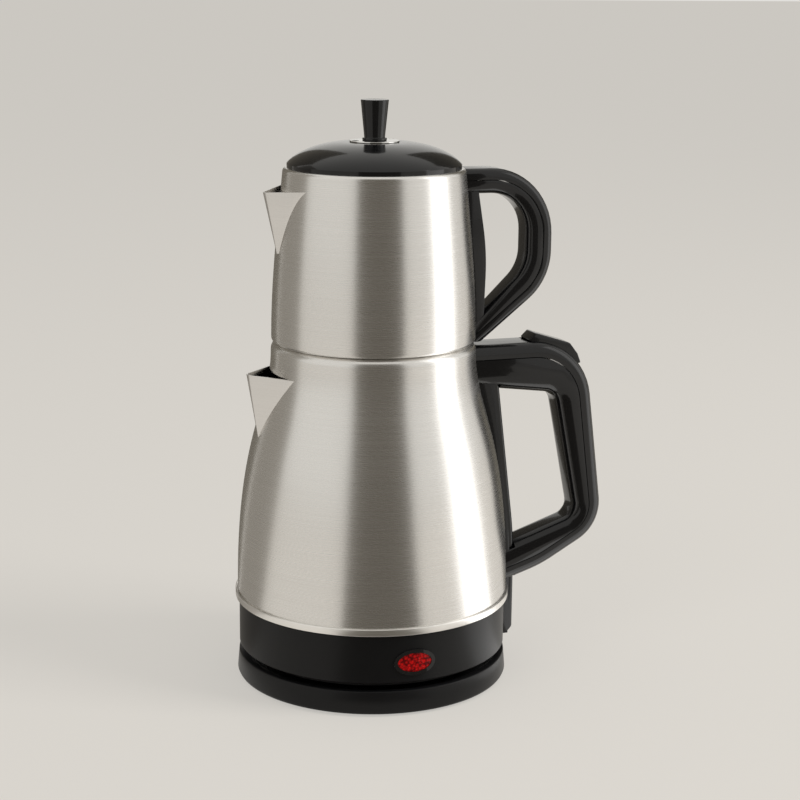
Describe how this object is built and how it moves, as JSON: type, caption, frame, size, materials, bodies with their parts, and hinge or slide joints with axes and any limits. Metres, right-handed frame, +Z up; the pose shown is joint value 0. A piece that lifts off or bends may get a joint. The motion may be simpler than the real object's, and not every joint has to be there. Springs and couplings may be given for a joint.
{
  "type": "two-tier electric tea maker",
  "caption": "Cordless electric kettle on a round power base, with a lidded teapot seated in its mouth; V spouts, black handles and a rocker switch.",
  "frame": {"origin": "on the kettle's axis, in the plane that the base's rubber foot stands on", "axes": "+Z up along the kettle's axis; the handles point along +X, the spouts along -X, and the indicator lamp faces -Y"},
  "size_m": [0.2216, 0.16, 0.334],
  "materials": {
    "black_plastic": "satin black moulding",
    "dark_plastic": "matte black moulding",
    "foot_rubber": "matte",
    "steam_silicone": "matte translucent grey",
    "screw_steel": "zinc plated",
    "contact_brass": "bright",
    "lead_copper": "pale heat-proof sleeving",
    "brushed_body": "brushed around the body",
    "spout_steel": "fine satin",
    "pressed_steel": "plain pressed sheet",
    "polished_steel": "polished",
    "heat_aluminium": "machined",
    "element_sheath": "dull drawn tube",
    "control_plastic": "pale heat-proof moulding",
    "lamp_bezel_black": "gloss black",
    "lamp_red": "clear red, faceted",
    "lamp_glass": "clear",
    "gloss_black": "high gloss",
    "spine_black": "gloss black",
    "white_plastic": "natural moulding",
    "bimetal": "plain strip metal"
  },
  "bodies": {
    "base": {"base_shell": "black_plastic", "base_plate": "dark_plastic", "base_foot_ring": "foot_rubber", "base_screws": "screw_steel", "base_coupler": "dark_plastic", "base_contacts": "contact_brass", "cord_bush": "foot_rubber", "base_leads": "lead_copper"},
    "coupler": {"kettle_coupler": "dark_plastic", "coupler_rings": "contact_brass"},
    "kettle": {"kettle_body": "brushed_body", "kettle_spout": "spout_steel", "kettle_bottom": "pressed_steel", "mounting_posts": "dark_plastic", "heat_plate": "heat_aluminium", "heating_element": "element_sheath", "boil_dry_control": "control_plastic", "kettle_collar": "black_plastic", "trim_ring": "polished_steel", "kettle_base_cover": "dark_plastic", "cover_screws": "screw_steel", "lamp_bezel": "lamp_bezel_black", "lamp_lens": "lamp_red", "indicator_lamp": "lamp_glass", "handle_outer_shell": "gloss_black", "handle_inner_shell": "gloss_black", "handle_spine": "spine_black", "spine_cover": "gloss_black", "handle_bracket_top": "pressed_steel", "handle_bracket_bottom": "pressed_steel", "handle_screws": "screw_steel", "switch_housing": "control_plastic", "bimetal_disc": "bimetal", "switch_wires": "lead_copper", "steam_bush": "steam_silicone", "switch_pivot_pin": "screw_steel"},
    "switch": {"switch_paddle": "gloss_black"},
    "plunger": {"switch_plunger": "white_plastic"},
    "teapot": {"teapot_body": "brushed_body", "teapot_spout": "spout_steel", "teapot_bottom": "pressed_steel", "teapot_handle_outer": "gloss_black", "teapot_handle_inner": "gloss_black", "teapot_handle_spine": "spine_black", "teapot_bracket_top": "pressed_steel", "teapot_bracket_bottom": "pressed_steel", "teapot_handle_screws": "screw_steel"},
    "lid": {"lid_dome": "gloss_black", "lid_skirt": "white_plastic", "knob_disc": "polished_steel", "lid_knob": "gloss_black", "knob_screw": "screw_steel", "knob_washer": "screw_steel"}
  },
  "joints": [
    {"name": "kettle_lift", "type": "slide", "parent": "base", "child": "coupler", "axis": [0, 0, 1], "range_m": [0, 0.05]},
    {"name": "kettle_swivel", "type": "hinge", "parent": "coupler", "child": "kettle", "pos_m": [0, 0, 0], "axis": [0, 0, 1], "continuous": true},
    {"name": "teapot_lift", "type": "slide", "parent": "kettle", "child": "teapot", "axis": [0, 0, 1], "range_m": [0, 0.06]},
    {"name": "lid_lift", "type": "slide", "parent": "teapot", "child": "lid", "axis": [0, 0, 1], "range_m": [0, 0.05]},
    {"name": "switch_rocker", "type": "hinge", "parent": "kettle", "child": "switch", "pos_m": [0.11, 0, 0.1858], "axis": [0, -1, 0], "range_deg": [0, 8]},
    {"name": "plunger_slide", "type": "slide", "parent": "kettle", "child": "plunger", "axis": [0, 0, -1], "range_m": [0, 0.00105]}
  ],
  "couplings": [
    {"joint": "plunger_slide", "follows": "switch_rocker", "m_per_rad": 0.0075}
  ]
}
